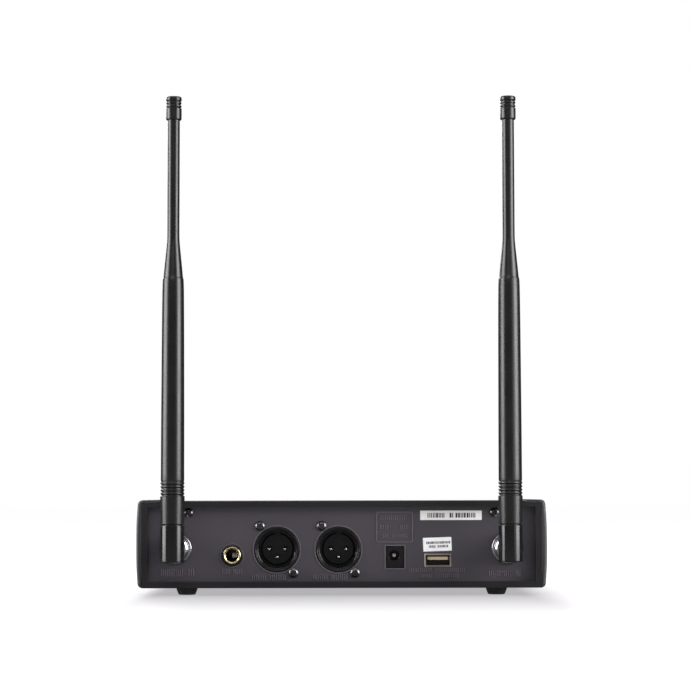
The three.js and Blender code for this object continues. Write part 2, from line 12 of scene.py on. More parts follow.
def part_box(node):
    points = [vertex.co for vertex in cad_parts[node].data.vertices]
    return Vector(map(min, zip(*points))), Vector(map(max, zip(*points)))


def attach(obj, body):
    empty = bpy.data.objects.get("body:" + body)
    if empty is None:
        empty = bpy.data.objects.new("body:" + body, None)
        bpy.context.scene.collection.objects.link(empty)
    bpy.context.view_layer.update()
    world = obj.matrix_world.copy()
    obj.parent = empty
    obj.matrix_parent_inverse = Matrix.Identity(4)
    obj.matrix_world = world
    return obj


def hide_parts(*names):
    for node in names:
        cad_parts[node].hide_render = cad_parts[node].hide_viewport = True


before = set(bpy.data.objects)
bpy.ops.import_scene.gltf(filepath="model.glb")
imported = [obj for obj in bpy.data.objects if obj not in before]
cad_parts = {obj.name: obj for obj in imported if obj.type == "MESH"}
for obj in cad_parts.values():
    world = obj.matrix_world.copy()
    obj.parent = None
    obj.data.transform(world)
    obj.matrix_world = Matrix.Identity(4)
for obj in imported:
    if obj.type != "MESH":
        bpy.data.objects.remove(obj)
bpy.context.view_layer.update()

MM = 0.001
scene = bpy.context.scene
random.seed(7)


# ---- places from the CAD frame

def low(node):
    """Lowest corner of a CAD node, in millimetres."""
    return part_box(node)[0] / MM


def high(node):
    """Highest corner of a CAD node, in millimetres."""
    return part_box(node)[1] / MM


def centre(node):
    return (low(node) + high(node)) / 2


FACE = high("rear_panel").y
REAR_RIM = high("bottom_case").y
CASE_FRONT = low("bottom_case").y
CASE_BOTTOM = low("bottom_case").z
CASE_TOP = high("top_case").z
PARTING = high("bottom_case").z
CHEEK_TOP = high("end_cheek_b").z
SHELL_HALF = high("bottom_case").x
CHEEK_HALF = high("end_cheek_b").x
LAP_START = low("end_cheek_b").x
FRONT = low("front_bezel").y
BEZEL_REAR = high("front_bezel").y
SIDES = {"a": -1, "b": 1}

CORNER = 2.6
BARREL = 0.7
WALL = 2.2
SCREW_HOLE = 1.7
DC_HEIGHT = 11.4
PANEL_BACK = FACE - 2.1
FLANGE_FRONT = FRONT + 2.7


# ---- outlines

def fillet(points, radius, closed=True, steps=4):
    """Rounds the corners of an outline. A point may carry its own radius as a third number."""
    rounded = []
    count = len(points)
    for index, point in enumerate(points):
        here = Vector(point[:2])
        own = point[2] if len(point) > 2 else radius
        ends = not closed and index in (0, count - 1)
        if ends or own <= 0:
            rounded.append(tuple(here))
            continue
        before = Vector(points[index - 1][:2]) - here
        after = Vector(points[(index + 1) % count][:2]) - here
        reach = min(own, before.length * 0.48, after.length * 0.48)
        start = here + before.normalized() * reach
        end = here + after.normalized() * reach
        for step in range(steps + 1):
            t = step / steps
            mixed = start * (1 - t) ** 2 + here * 2 * t * (1 - t) + end * t ** 2
            rounded.append(tuple(mixed))
    return rounded


def arc(centre_x, centre_z, radius, start, end, steps):
    """Points of an arc, with its angles in degrees."""
    angles = [math.radians(start + (end - start) * step / steps) for step in range(steps + 1)]
    return [(centre_x + radius * math.cos(a), centre_z + radius * math.sin(a)) for a in angles]


def smooth_line(points, steps=5):
    """A smooth line through points, by Catmull-Rom spans."""
    padded = [points[0], *points, points[-1]]
    line = []
    for a, b, c, d in zip(padded, padded[1:], padded[2:], padded[3:]):
        for step in range(steps):
            t = step / steps
            line.append(tuple(0.5 * (2 * q + (r - p) * t + (2 * p - 5 * q + 4 * r - s) * t * t
                + (3 * q - p - 3 * r + s) * t ** 3)
                for p, q, r, s in zip(a, b, c, d)))
    return line + [tuple(points[-1])]


def rectangle(x0, x1, z0, z1, radius=0.0, steps=6):
    corners = [(x0, z0), (x1, z0), (x1, z1), (x0, z1)]
    return fillet(corners, radius, steps=steps) if radius else corners


def within(a, b, margin=0.0, radius=0.0, steps=6):
    """A rectangle between two corners, drawn in by a margin."""
    return rectangle(a.x + margin, b.x - margin, a.z + margin, b.z - margin, radius, steps)


def about(c, half_x, half_z, radius=0.0, steps=6):
    """A rectangle about a point."""
    return rectangle(c.x - half_x, c.x + half_x, c.z - half_z, c.z + half_z, radius, steps)


def pair(middle, half):
    """Two limits about a middle."""
    return middle - half, middle + half


def signed_area(outline):
    pairs = zip(outline, outline[1:] + outline[:1])
    return sum(a[0] * b[1] - b[0] * a[1] for a, b in pairs) / 2


def without_doubles(outline):
    """Drops points that repeat their neighbour."""
    kept = [p for p, q in zip(outline, outline[-1:] + outline[:-1]) if math.dist(p, q) > 1e-4]
    return kept if signed_area(kept) > 0 else kept[::-1]


def inset_outline(outline, inset, share_at=None):
    """The outline moved inwards by inset, corner by corner; share_at(x, z) may lessen it."""
    moved = []
    for index, point in enumerate(outline):
        here = Vector(point)
        before = (here - Vector(outline[index - 1])).normalized()
        after = (Vector(outline[(index + 1) % len(outline)]) - here).normalized()
        inward = Vector((-before.y - after.y, before.x + after.x))
        if inward.length < 1e-6:
            inward = Vector((-before.y, before.x))
        inward.normalize()
        spread = max(0.35, inward.dot(Vector((-before.y, before.x))))
        share = share_at(*point) if share_at else 1
        moved.append(tuple(here + inward * inset * share / spread))
    return moved


# ---- mesh building

def added(name, data):
    """A new object in the scene."""
    obj = bpy.data.objects.new(name, data)
    scene.collection.objects.link(obj)
    return obj


def make_mesh(name, points, faces):
    """An object from points in millimetres, with its faces turned outwards."""
    mesh = bpy.data.meshes.new(name)
    mesh.from_pydata([Vector(p) * MM for p in points], [], faces)
    shape = bmesh.new()
    shape.from_mesh(mesh)
    bmesh.ops.remove_doubles(shape, verts=shape.verts, dist=1e-7)
    bmesh.ops.recalc_face_normals(shape, faces=shape.faces)
    shape.to_mesh(mesh)
    shape.free()
    return added(name, mesh)


def prism(name, outline, sections, share_at=None):
    """An outline in x and z run along Y, through (y, inset) sections, capped at both ends."""
    base = without_doubles(outline)
    count = len(base)
    points = [(x, y, z) for y, inset in sections for x, z in inset_outline(base, inset, share_at)]
    faces = [tuple(range(count)), tuple(range(len(points) - count, len(points)))]
    for ring in range(len(sections) - 1):
        first = ring * count
        for k in range(count):
            n = (k + 1) % count
            faces.append((first + k, first + n, first + count + n, first + count + k))
    return make_mesh(name, points, faces)


def slab(name, outline, y0, y1, edge=0.3, steps=3, share_at=None):
    """A prism whose two ends are rounded over by edge."""
    turn = [math.pi / 2 * step / steps for step in range(steps + 1)]
    start = [(y0 + edge * (1 - math.sin(a)), edge * (1 - math.cos(a))) for a in reversed(turn)]
    end = [(y1 - edge * (1 - math.sin(a)), edge * (1 - math.cos(a))) for a in turn]
    return prism(name, outline, start + end, share_at)


def hole(outline, y0, y1):
    """A straight cutter through an outline."""
    return prism("cutter", outline, [(y0, 0), (y1, 0)])


def block(name, x, y, z, edge=0.2):
    """A box between pairs of limits, its edges rounded."""
    points = [(a, b, c) for a in x for b in y for c in z]
    faces = [(0, 1, 3, 2), (4, 6, 7, 5), (0, 4, 5, 1), (2, 3, 7, 6), (0, 2, 6, 4), (1, 5, 7, 3)]
    obj = make_mesh(name, points, faces)
    if edge:
        shape = bmesh.new()
        shape.from_mesh(obj.data)
        bmesh.ops.bevel(shape, geom=shape.edges[:], offset=edge * MM, segments=2, profile=0.5,
            affect="EDGES")
        shape.to_mesh(obj.data)
        shape.free()
    return obj


def boxes(name, limits, draft=0.0):
    """Many small boxes as one mesh; draft narrows the face at the second y limit."""
    points, faces = [], []
    sides = [(0, 1, 2, 3), (4, 7, 6, 5), (0, 4, 5, 1), (1, 5, 6, 2), (2, 6, 7, 3), (3, 7, 4, 0)]
    for x0, x1, y0, y1, z0, z1 in limits:
        faces += [tuple(len(points) + corner for corner in side) for side in sides]
        for y, d in ((y0, 0), (y1, draft)):
            points += [(x0 + d, y, z0 + d), (x1 - d, y, z0 + d), (x1 - d, y, z1 - d), (x0 + d, y, z1 - d)]
    return make_mesh(name, points, faces)


def lathe(name, profile, c, axis="Y", around=64, wave=None):
    """Turns (radius, height) points about an axis through c. A profile that starts off the axis is
    a ring. wave(radius, height, angle) may change a radius, for knurls and flutes."""
    place = Vector((c.x, 0, c.z) if axis == "Y" else (c.x, c.y, 0))
    points, index = [], []
    for radius, height in profile:
        row = []
        for step in range(1 if radius < 1e-6 else around):
            angle = 2 * math.pi * step / around
            r = wave(radius, height, angle) if wave and radius > 1e-6 else radius
            across, up = r * math.cos(angle), r * math.sin(angle)
            local = (across, height, up) if axis == "Y" else (across, up, height)
            points.append(place + Vector(local))
            row.append(len(points) - 1)
        index.append(row)
    ring = profile[0][0] > 0
    faces = []
    for lower, upper in zip(index, index[1:] + index[:1] if ring else index[1:]):
        for k in range(around):
            n = (k + 1) % around
            if len(lower) == 1:
                faces.append((lower[0], upper[k], upper[n]))
            elif len(upper) == 1:
                faces.append((lower[k], lower[n], upper[0]))
            else:
                faces.append((lower[k], lower[n], upper[n], upper[k]))
    return make_mesh(name, points, faces)


def over(base, points):
    """A profile's points from heights over a base."""
    return [(radius, base + height, *own) for radius, height, *own in points]


def turned(name, points, c, soft=0.1, steps=4, **settings):
    """A lathed shape whose profile's corners are rounded by soft."""
    return lathe(name, fillet(points, soft, points[0][0] > 0, steps), c, **settings)


def bore(c, radius, y0, y1, mouth=None, flare=0.25, around=48):
    """A cylinder to cut with, flared where it leaves the face at y = mouth."""
    profile = [(0, y0), (radius, y0)]
    if mouth is not None:
        step = flare if y1 > y0 else -flare
        profile.append((radius, mouth - step))
        radius += 2 * flare
        profile.append((radius, mouth + step))
    return lathe("cutter", profile + [(radius, y1), (0, y1)], c, around=around)


def combined(obj, others, operation="DIFFERENCE"):
    """Cuts the others from obj, or joins them to it, as solids."""
    for other in others:
        boolean = obj.modifiers.new("solid", "BOOLEAN")
        boolean.operation = operation
        boolean.solver = "EXACT"
        boolean.object = other
        graph = bpy.context.evaluated_depsgraph_get()
        mesh = bpy.data.meshes.new_from_object(obj.evaluated_get(graph))
        obj.modifiers.clear()
        obj.data = mesh
        bpy.data.objects.remove(other)
    return obj


def merged(name, objs):
    """Several closed shells as one piece."""
    shape = bmesh.new()
    for obj in objs:
        shape.from_mesh(obj.data)
        bpy.data.objects.remove(obj)
    mesh = bpy.data.meshes.new(name)
    shape.to_mesh(mesh)
    shape.free()
    return added(name, mesh)


def set_at(obj, place, angle, axis):
    """Turns a shape about an axis through the origin, then moves it to its place."""
    obj.data.transform(Matrix.Translation(Vector(place) * MM) @ Matrix.Rotation(angle, 4, axis))


CREASE = math.radians(32)


def put(obj, material, node=None, body="case"):
    """Smooth shading with crisp creases, a material and a body to ride on; the CAD node that the
    piece stands for, if there is one, is hidden."""
    for polygon in obj.data.polygons:
        polygon.use_smooth = True
    obj.data.set_sharp_from_angle(angle=CREASE)
    weighted = obj.modifiers.new("flat faces stay flat", "WEIGHTED_NORMAL")
    weighted.keep_sharp = True
    obj.data.materials.clear()
    obj.data.materials.append(material)
    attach(obj, body)
    if node:
        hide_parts(node)


# ---- materials

class Nodes:
    """Short ways to make and join the nodes of one material."""

    def __init__(self, name):
        self.material = bpy.data.materials.new(name)
        self.material.use_nodes = True
        self.tree = self.material.node_tree
        self.shader = self.tree.nodes["Principled BSDF"]
        self.place = self.add("ShaderNodeTexCoord").outputs["Object"]

    def add(self, kind, **settings):
        node = self.tree.nodes.new(kind)
        for key, value in settings.items():
            setattr(node, key, value)
        return node

    def join(self, source, target):
        self.tree.links.new(source, target)

    def stretched(self, x, y, z):
        mapping = self.add("ShaderNodeMapping")
        mapping.inputs["Scale"].default_value = (x, y, z)
        self.join(self.place, mapping.inputs["Vector"])
        return mapping.outputs["Vector"]

    def noise(self, scale, detail=2.0, vector=None):
        node = self.add("ShaderNodeTexNoise")
        node.inputs["Scale"].default_value = scale
        node.inputs["Detail"].default_value = detail
        self.join(vector or self.place, node.inputs["Vector"])
        return node.outputs["Fac"]

    def span(self, value, low_out, high_out, low_in=0.3, high_in=0.7):
        node = self.add("ShaderNodeMapRange")
        for key, number in zip(("From Min", "From Max", "To Min", "To Max"),
                (low_in, high_in, low_out, high_out)):
            node.inputs[key].default_value = number
        self.join(value, node.inputs["Value"])
        return node.outputs["Result"]

    def blend(self, factor, first, second):
        """A colour between two, each a colour or an output."""
        node = self.add("ShaderNodeMix", data_type="RGBA")
        self.join(factor, node.inputs["Factor"])
        for socket, value in ((node.inputs["A"], first), (node.inputs["B"], second)):
            if isinstance(value, tuple):
                socket.default_value = (*value, 1)
            else:
                self.join(value, socket)
        return node.outputs["Result"]

    def bump(self, height, distance):
        node = self.add("ShaderNodeBump")
        node.inputs["Distance"].default_value = distance * MM
        node.inputs["Strength"].default_value = 1.0
        self.join(height, node.inputs["Height"])
        self.join(node.outputs["Normal"], self.shader.inputs["Normal"])

    def edges(self):
        """How close a point lies to an edge, from 0 to 1: there a bevelled normal turns away."""
        reach = 0.35
        bevel = self.add("ShaderNodeBevel", samples=6)
        bevel.inputs["Radius"].default_value = reach * MM
        away = self.add("ShaderNodeVectorMath", operation="DOT_PRODUCT")
        self.join(bevel.outputs["Normal"], away.inputs[0])
        self.join(self.add("ShaderNodeNewGeometry").outputs["Normal"], away.inputs[1])
        return self.span(away.outputs["Value"], 1, 0, 0.8, 0.99)

    def coat(self, colour, patches, smoothest, roughest):
        """Gives the shader a colour, and a roughness that varies with a noise."""
        self.join(colour, self.shader.inputs["Base Color"])
        self.join(self.span(patches, smoothest, roughest), self.shader.inputs["Roughness"])


def scaled(colour, amount):
    return tuple(min(1, channel * amount) for channel in colour)


def plastic(name, colour, roughness, grain=0.5, depth=0.02, spread=0.03, wear_and_highlight=1.5, shine=0.5):
    """Moulded plastic: slow colour drift, a fine moulded grain, and paler edges, part wear and part painted
    highlight.
    """
    nodes = Nodes(name)
    nodes.shader.inputs["Specular IOR Level"].default_value = shine
    drift = nodes.span(nodes.noise(22, 3), 0, 1)
    body = nodes.blend(drift, scaled(colour, 0.94), scaled(colour, 1.07))
    # Edges and inner corners paler: part wear and dust, part a painted highlight on the edges.
    worn_and_highlit = nodes.blend(nodes.edges(), body, scaled(colour, wear_and_highlight))
    nodes.coat(worn_and_highlit, nodes.noise(90, 4), roughness - spread, roughness + spread)
    nodes.bump(nodes.noise(1000 / grain, 3) if grain else nodes.noise(260, 2), depth)
    return nodes.material


def metal(name, colour, roughness, grain=(400, 400, 400)):
    """Plated or brushed metal: tarnish, uneven polish and fine tool marks."""
    spread = 0.06
    nodes = Nodes(name)
    nodes.shader.inputs["Metallic"].default_value = 1.0
    tarnish = nodes.span(nodes.noise(180, 4), 0, 1)
    stained = nodes.blend(tarnish, scaled(colour, 0.82), colour)
    nodes.coat(stained, nodes.noise(420, 3), roughness - spread, roughness + spread)
    nodes.bump(nodes.noise(6, 3, nodes.stretched(*grain)), 0.004)
    return nodes.material


def rubber(name, colour):
    nodes = Nodes(name)
    dust = nodes.span(nodes.noise(150, 5), 0, 1, 0.45, 0.75)
    nodes.coat(nodes.blend(dust, colour, scaled(colour, 2.2)), nodes.noise(700, 2), 0.72, 0.9)
    nodes.bump(nodes.noise(1800, 2), 0.03)
    return nodes.material


def paper(name, colour):
    nodes = Nodes(name)
    fibre = nodes.span(nodes.noise(5, 5, nodes.stretched(200, 200, 60)), 0, 1)
    nodes.coat(nodes.blend(fibre, scaled(colour, 0.93), colour), nodes.noise(900, 2), 0.5, 0.65)
    nodes.bump(nodes.noise(1500, 3), 0.004)
    return nodes.material


def ink(name, colour, roughness=0.5):
    nodes = Nodes(name)
    patchy = nodes.span(nodes.noise(2500, 2), 0, 1)
    uneven = nodes.blend(patchy, colour, scaled(colour, 1.5))
    nodes.coat(uneven, nodes.noise(1200, 2), roughness - 0.1, roughness + 0.1)
    return nodes.material


def smoked_glass(name, colour):
    nodes = Nodes(name)
    nodes.shader.inputs["Transmission Weight"].default_value = 1.0
    nodes.shader.inputs["IOR"].default_value = 1.49
    streaks = nodes.blend(nodes.noise(30, 2), scaled(colour, 0.92), colour)
    nodes.coat(streaks, nodes.noise(60, 4), 0.015, 0.05)
    return nodes.material


SHELL = plastic("shell_plastic", (0.0075, 0.0068, 0.0080), 0.52, wear_and_highlight=3, shine=0.4)
# The shell's plastic made paler for the end cheeks: a painted sheen for the light their rounded rear edges
# catch.
CHEEK = plastic("cheek_plastic_painted_sheen", (0.026, 0.0242, 0.0268), 0.46, wear_and_highlight=2)
PANEL = plastic("panel_plastic", (0.049, 0.0425, 0.053), 0.5, wear_and_highlight=1.9)
# The panel's plastic made paler for its raised mouldings: a painted highlight for the light their edges
# catch.
PAINTED_HIGHLIGHT_RAISED = plastic("raised_plastic_painted_highlight", (0.088, 0.078, 0.092), 0.42, wear_and_highlight=2)
SATIN = plastic("aerial_plastic", (0.0045, 0.0043, 0.0048), 0.31, 0.3, 0.006, wear_and_highlight=2)
GLOSS = plastic("aerial_gloss", (0.0035, 0.0032, 0.0038), 0.17, 0, 0.003, spread=0.04, wear_and_highlight=2)
SOCKET = plastic("socket_plastic", (0.006, 0.0055, 0.0065), 0.28, 0.3, 0.004, wear_and_highlight=3)
CONTROL = plastic("control_plastic", (0.016, 0.016, 0.017), 0.42, 0.3, 0.006)
TONGUE = plastic("usb_tongue", (0.52, 0.41, 0.28), 0.45, 0.3, 0.004, wear_and_highlight=1.1)
CHROME = metal("plated_metal", (0.68, 0.68, 0.70), 0.16)
SCREW = metal("screw_metal", (0.2, 0.195, 0.2), 0.28)
NUT = metal("nut_plate", (0.50, 0.49, 0.51), 0.22)
NICKEL = metal("usb_metal", (0.72, 0.64, 0.6), 0.38, grain=(80, 400, 400))
TIN = metal("tin_plate", (0.6, 0.6, 0.61), 0.34)
DULL = metal("dull_plate", (0.82, 0.78, 0.76), 0.6)
BRASS = metal("brass_plate", (0.90, 0.76, 0.46), 0.27)
RUBBER = rubber("foot_rubber", (0.016, 0.016, 0.017))
LABEL = paper("label_paper", (0.80, 0.79, 0.77))
WHITE_LABEL = paper("white_label_paper", (0.93, 0.93, 0.93))
PRINT = ink("black_print", (0.02, 0.02, 0.02))
PALE_PRINT = ink("pale_print", (0.42, 0.42, 0.43))
GLASS = smoked_glass("window_glass", (0.66, 0.67, 0.69))
BOARD = plastic("circuit_board", (0.02, 0.10, 0.045), 0.35, 0.8, 0.01)
DISPLAY = plastic("display_face", (0.24, 0.28, 0.235), 0.3, 0, 0.001)
SEGMENT = ink("display_segment", (0.06, 0.075, 0.06), 0.3)


# ---- case

def corner_arc(start, end):
    """Part of the case's rounded bottom corner, between angles in degrees."""
    return arc(CHEEK_HALF - BARREL - CORNER, CASE_BOTTOM + CORNER, CORNER, start, end, 8)


def side_contour():
    """The case's outer side above the bottom corner: a slight barrel, the top corner, the lap."""
    side = CHEEK_HALF - BARREL
    barrel = [(side, CASE_BOTTOM + CORNER), (CHEEK_HALF - 0.12, 16), (CHEEK_HALF, 27),
        (CHEEK_HALF - 0.1, 37), (side, CHEEK_TOP - CORNER)]
    corner = arc(side - CORNER, CHEEK_TOP - CORNER, CORNER, 0, 90, 8)
    lap = [(LAP_START + 1, CHEEK_TOP), (LAP_START, CASE_TOP + 0.1)]
    return smooth_line(barrel)[1:] + corner[1:] + lap


def corner_angle(x):
    """Where the bottom corner's arc reaches x, in degrees."""
    return -math.degrees(math.acos((x - CHEEK_HALF + BARREL + CORNER) / CORNER))


def mirrored(right):
    """An outline from its right half."""
    return right + [(-x, z) for x, z in reversed(right)]


def channel_outline(floor, wall):
    inner = SHELL_HALF - wall
    inside = [(SHELL_HALF, PARTING), (inner, PARTING), (inner, CASE_BOTTOM + floor)]
    return mirrored(corner_arc(-90, corner_angle(SHELL_HALF)) + inside)


def lid_outline(roof, wall):
    """An inverted channel down to the parting line, stepped where the cheeks lap over it."""
    inner = SHELL_HALF - wall
    under = PARTING + 0.1
    step = LAP_START - 0.3
    shoulder = CASE_TOP - 1
    return mirrored([(inner, CASE_TOP - roof), (inner, under), (SHELL_HALF, under),
        (SHELL_HALF, shoulder), (step, shoulder), (step, CASE_TOP)])


def screw_bosses():
    """The lid's two blocks behind the panel that take the case screws."""
    behind = low("rear_panel").y - 0.1
    bosses = []
    for letter in SIDES:
        c = centre(f"case_screw_{letter}")
        boss = block("boss", pair(c.x, 4), (behind - 10, behind), (low("top_case").z, CASE_TOP - 1), 0.3)
        bosses.append(combined(boss, [bore(c, 1.6, behind - 8.5, behind + 1, around=20)]))
    return bosses


def case_shells():
    """The tray and the lid, each with a thicker rim around the socket panel."""
    for name, section, thick in (("bottom_case", channel_outline, 3.3), ("top_case", lid_outline, 3.0)):
        shell = slab(f"{name}_shell", section(WALL, WALL), CASE_FRONT, REAR_RIM, 0.1)
        rim = slab(f"{name}_rim", section(thick, 3.1), FACE + 0.1, REAR_RIM, 0.1)
        parts = [rim] if name == "bottom_case" else [rim, *screw_bosses()]
        put(combined(shell, parts, "UNION"), SHELL, name)


def cheek_outline():
    side = SHELL_HALF + 0.1
    under = CASE_TOP - 0.9
    return corner_arc(corner_angle(side), 0) + side_contour() + [(LAP_START, under), (side, under)]


def rounded_outside(x, z):
    """The share of a cheek's rounding at a point: full outside, and just eased beside the shells."""
    return 1 if abs(x) > SHELL_HALF + 0.2 else 0.07


def end_cheeks():
    for letter, side in SIDES.items():
        node = f"end_cheek_{letter}"
        outline = [(side * x, z) for x, z in cheek_outline()]
        cheek = slab(f"{node}_shell", outline, CASE_FRONT, REAR_RIM, 1.5, 6, rounded_outside)
        put(cheek, CHEEK, node)


def foot_pieces():
    for n in range(1, 5):
        node = f"foot_{n}"
        top = high(node).z
        profile = [(0, 1.3), (2.1, 1.3, 0.1), (2.4, 0, 0.25), (4.2, 0, 0.35), (4.65, 0.5, 0.3),
            (5.6, top - 0.9, 0.4), (5.6, top, 0.2), (0, top)]
        put(turned(f"{node}_rubber", profile, centre(node), 0.2, axis="Z", around=56), RUBBER, node)


# ---- socket panel

def xlr_centre(number):
    """The axis of an XLR socket: half-way between its two screws."""
    return (centre(f"xlr_{number}_screw_1") + centre(f"xlr_{number}_screw_2")) / 2


def rear_panel():
    """The socket panel with its cut-outs, each with a slightly eased edge."""
    a, b = low("rear_panel"), high("rear_panel")
    plate = slab("rear_panel_plate", within(a, b, 0, 0.4), a.y, b.y, 0.15)
    behind, ahead, gap = a.y - 2, b.y + 2, 0.15
    rounds = [(centre(f"aerial_socket_{letter}"), 6.2) for letter in SIDES]
    rounds += [(centre(f"case_screw_{letter}"), SCREW_HOLE) for letter in SIDES]
    rounds += [(centre(f"xlr_{n}_screw_{k}"), SCREW_HOLE) for n in (1, 2) for k in (1, 2)]
    rounds += [(centre("phone_jack_ring"), 5.2)]
    rounds += [(xlr_centre(n), 12.1) for n in (1, 2)]
    cutters = [bore(c, radius, behind, ahead, b.y, 0.08) for c, radius in rounds]
    dc_bottom = high("dc_socket_body").z - DC_HEIGHT
    for node, bottom in (("usb_shell", low("usb_shell").z), ("dc_socket_body", dc_bottom)):
        left, right, top = low(node).x, high(node).x, high(node).z
        opening = rectangle(left - gap, right + gap, bottom - gap, top + gap, 0.2, 3)
        cutters.append(hole(opening, behind, ahead))
    put(combined(plate, cutters), PANEL, "rear_panel")


def ridge_ring(name, c, inner, outer, height):
    """A low round moulding on the panel's face."""
    profile = over(FACE - 0.05, [(inner, 0, 0), (outer, 0, 0), (outer, height), (inner, height)])
    put(turned(name, profile, c, 0.12, 3, around=72), PAINTED_HIGHLIGHT_RAISED)


def ridge_frame(name, x, z, width, height, radius):
    """A low moulded frame with rounded corners on the panel's face."""
    line, rise = 0.55, 0.4
    left, right, bottom, top = *pair(x, width / 2), *pair(z, height / 2)
    ridge = prism(name, rectangle(left, right, bottom, top, radius),
        [(FACE - 0.05, 0), (FACE + rise - 0.1, 0), (FACE + rise, 0.1)])
    inner = rectangle(left + line, right - line, bottom + line, top - line, max(radius - line, 0.15), 4)
    put(combined(ridge, [hole(inner, FACE - 1, FACE + 1)]), PAINTED_HIGHLIGHT_RAISED)


def raised_row(name, x, fields, z, height):
    """Plain raised bars where the real panel has lettering. fields are pairs of limits, from x."""
    rise, stroke, pitch = 0.3, 0.5, 1.1
    limits = []
    for start, end in fields:
        x0, x1 = x + start, x + end
        count = max(1, round(abs(x1 - x0) / pitch))
        for k in range(count):
            middle = x0 + (x1 - x0) * (k + 0.5) / count
            limits.append((*pair(middle, stroke / 2), FACE - 0.04, FACE + rise, *pair(z, height / 2)))
    put(boxes(name, limits, 0.1), PAINTED_HIGHLIGHT_RAISED)


def printed_row(name, x, fields, z, height, module, turn=0.0):
    """Plain printed bars of uneven width on a label. fields are pairs of limits, from x."""
    fields = [(x + start, x + end) for start, end in fields]
    limits = []
    for field in fields:
        edge = min(field)
        while edge < max(field) - module:
            width = module * random.choice((1, 1, 2))
            limits.append((edge, edge + width, FACE + 0.08, FACE + 0.13, *pair(z, height / 2)))
            edge += width + module * random.choice((0.7, 1))
    row = boxes(name, limits)
    if turn:
        middle = Vector((sum(sum(f) for f in fields) / 2 / len(fields), 0, z)) * MM
        row.data.transform(Matrix.Translation(middle) @ Matrix.Rotation(turn, 4, "Y")
            @ Matrix.Translation(-middle))
    put(row, PRINT)


def panel_mouldings():
    """Rims around the sockets, the framed field, and the raised rows under each socket, all paler than the
    panel as a painted highlight.
    """
    for n in (1, 2):
        ridge_ring(f"xlr_{n}_rim", xlr_centre(n), 12.15, 12.75, 0.4)
    jack = centre("phone_jack_ring")
    ridge_ring("phone_jack_rim", jack, 5.85, 6.3, 0.3)
    dc, dc_top = centre("dc_socket_body").x, high("dc_socket_body").z
    field = dc_top + 10.1
    ridge_frame("dc_socket_rim", dc, dc_top - DC_HEIGHT / 2, 11.1, 13, 0.7)
    ridge_frame("legend_frame", dc + 0.2, field, 19.4, 16.4, 1.3)
    left, right = centre("aerial_socket_b"), centre("aerial_socket_a")
    usb_x, usb_z = centre("usb_shell").x, centre("usb_tongue").z
    rows = [("field_1", dc, [(8, -5.5)], field + 4.9, 2.6),
        ("field_2", dc, [(8, 3.2), (-2.5, -6.8)], field, 2.2),
        ("field_3", dc, [(6.5, 3.5), (1.5, -6.8)], field - 4.6, 1.8),
        ("aerial_b", left.x, [(8, -4), (-6.5, -10)], left.z - 12.6, 3.6),
        ("aerial_a", right.x, [(10, -2), (-4, -7)], left.z - 13.4, 3),
        ("phone", jack.x, [(5.5, 1), (-0.5, -5.5)], jack.z - 8.4, 2.8),
        ("usb_1", usb_x, [(15.5, 3), (1.5, -14.5)], usb_z - 5.2, 2.1),
        ("usb_2", usb_x, [(9.5, 3), (1, -11)], usb_z - 8.3, 1.9)]
    for n in (1, 2):
        c = xlr_centre(n)
        rows.append((f"xlr_{n}", c.x, [(13.5, 5.5), (4, -5)], c.z - 14.6, 2.8))
    for name, *row in rows:
        raised_row(f"legend_{name}", *row)


def label(name, outline, material):
    """A paper label on the panel's face."""
    put(slab(name, outline, FACE, FACE + 0.1, 0.02, 1), material)


def labels():
    """A long label, and a small one that is stuck on a little askew, with plain printed rows."""
    usb = centre("usb_tongue")
    half = 16.25
    x, z = usb.x - 7, high("dc_socket_body").z + 16.25
    label("long_label", rectangle(x - half, x + half, z - 2.5, z + 2.5, 0.2, 2), LABEL)
    fields = [(-3.6, -12.8), (-14.7, -17.4), (-18.9, -29.1)]
    printed_row("long_label_print", x + half, fields, z, 2.5, 0.5)
    x, z, tilt = usb.x + 0.25, usb.z + 8.4, math.radians(-1.9)
    sheet = rectangle(-7.5, 7.5, -3.6, 3.6, 0.2, 2)
    askew = [(u * math.cos(tilt) - v * math.sin(tilt) + x, u * math.sin(tilt) + v * math.cos(tilt) + z)
        for u, v in sheet]
    label("small_label", askew, WHITE_LABEL)
    printed_row("small_label_print_1", x, [(6, -6.8)], z + 0.9, 1.3, 0.28, -tilt)
    printed_row("small_label_print_2", x, [(4.6, 1), (0, -5.6)], z - 1.1, 1.3, 0.28, -tilt)


# ---- screws

def cross_recess(height, reach):
    """A cross-shaped cutter for a screw head facing +Y, narrowing inwards."""
    depth, width = 1.35, 1.05
    sections = [(height - depth, width * 0.3), (height + 1, -0.05)]
    return [prism("cutter", rectangle(*pair(0, along / 2), *pair(0, across / 2)), sections)
        for along, across in ((reach, width), (width, reach))]


def screws():
    """Pan-head cross-recess screws, each turned its own way."""
    shank = 1.35
    nodes = [(f"case_screw_{letter}", 2.5) for letter in SIDES]
    nodes += [(f"xlr_{n}_screw_{k}", 2.6) for n in (1, 2) for k in (1, 2)]
    for index, (node, radius) in enumerate(nodes):
        c = centre(node)
        height = high(node).y - FACE
        length = FACE - low(node).y
        head = [(0, -length), (shank, -length), (shank, 0.1, 0.05), (radius, 0.1, 0.15),
            (radius, height * 0.45, 0.5), (radius * 0.62, height, 0.5), (0, height)]
        screw = turned(f"{node}_head", head, Vector(), around=40)
        combined(screw, cross_recess(height, radius * 1.3))
        set_at(screw, (c.x, FACE, c.z), math.radians(17 + 31 * index), "Y")
        put(screw, SCREW, node)


# ---- sockets

